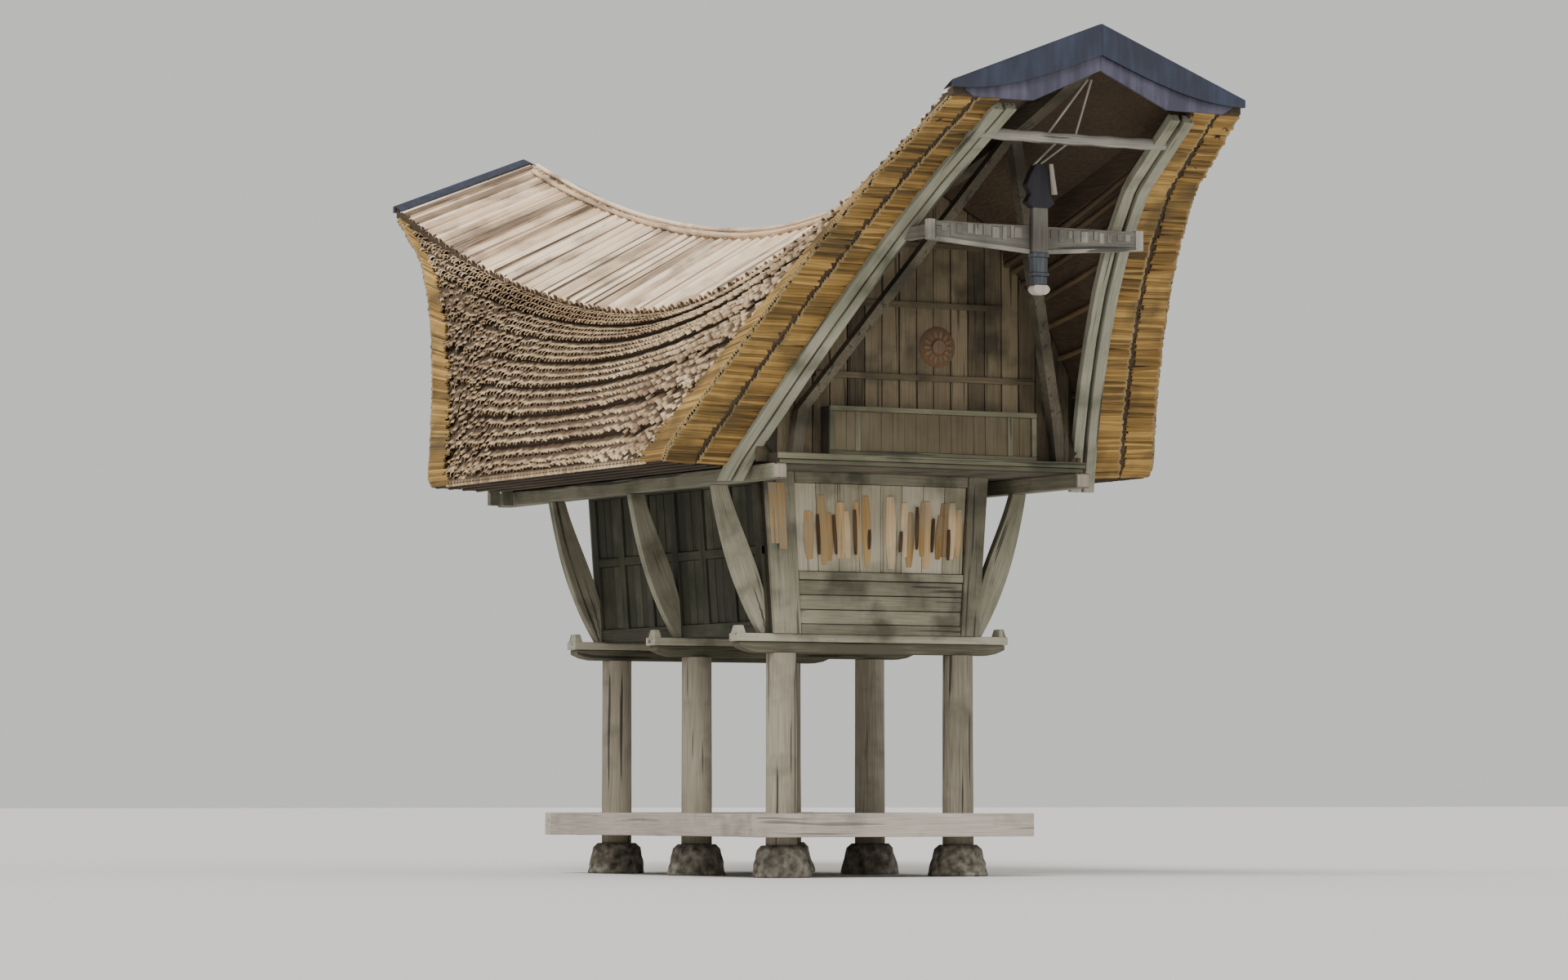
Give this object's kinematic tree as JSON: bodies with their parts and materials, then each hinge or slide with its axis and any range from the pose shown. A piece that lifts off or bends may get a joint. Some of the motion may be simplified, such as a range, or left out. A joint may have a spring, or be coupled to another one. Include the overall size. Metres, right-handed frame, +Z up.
{
  "type": "tongkonan rice-barn house",
  "caption": "Timber house in tongkonan form: round posts on stones, low platform, leaning board body with curved brackets, sweeping saddle roof of layered bamboo.",
  "frame": {"origin": "on the ground, in the middle of the house", "axes": "+Z up, +Y along the ridge towards the back, so the front gable faces -Y; +X to the right"},
  "size_m": [5.28, 11.66, 7.58],
  "materials": {
    "weathered_timber": "rough weathered grey",
    "post_timber": "rough weathered, round hewn",
    "deck_timber": "worn plank",
    "wall_boards": "carved and faded paint",
    "carved_boards": "carved, faded",
    "footing_stone": "rough",
    "bamboo_courses": "split bamboo, weathered brown",
    "bamboo_strips": "split bamboo, bleached pale",
    "ridge_cap_metal": "faded blue-black paint"
  },
  "bodies": {
    "root": {"stone_left_front": "footing_stone", "stone_right_front": "footing_stone", "stone_left_middle": "footing_stone", "stone_right_middle": "footing_stone", "stone_left_back": "footing_stone", "stone_right_back": "footing_stone", "post_left_front": "post_timber", "post_right_front": "post_timber", "post_left_middle": "post_timber", "post_right_middle": "post_timber", "post_left_back": "post_timber", "post_right_back": "post_timber", "platform_frame": "deck_timber", "platform_deck": "deck_timber", "cross_sill_front": "weathered_timber", "cross_sill_middle": "weathered_timber", "cross_sill_back": "weathered_timber", "floor": "deck_timber", "front_wall": "wall_boards", "back_wall": "wall_boards", "left_wall": "weathered_timber", "right_wall": "weathered_timber", "bracket_left_front": "weathered_timber", "bracket_right_front": "weathered_timber", "bracket_left_middle": "weathered_timber", "bracket_right_middle": "weathered_timber", "bracket_left_back": "weathered_timber", "bracket_right_back": "weathered_timber", "eave_beam_left": "weathered_timber", "eave_beam_right": "weathered_timber", "eave_purlin_left": "weathered_timber", "eave_purlin_right": "weathered_timber", "attic_floor": "weathered_timber", "ridge_beam": "weathered_timber", "roof_left": "bamboo_courses", "roof_right": "bamboo_courses", "roof_saddle": "bamboo_strips", "ridge_cap_front": "ridge_cap_metal", "ridge_cap_back": "ridge_cap_metal", "gable_box_front": "wall_boards", "gable_box_back": "wall_boards", "gable_panel_front": "wall_boards", "gable_panel_back": "wall_boards", "gable_frame_front": "carved_boards", "gable_frame_back": "carved_boards", "inner_rafters_front": "weathered_timber", "inner_rafters_back": "weathered_timber"}
  },
  "joints": []
}
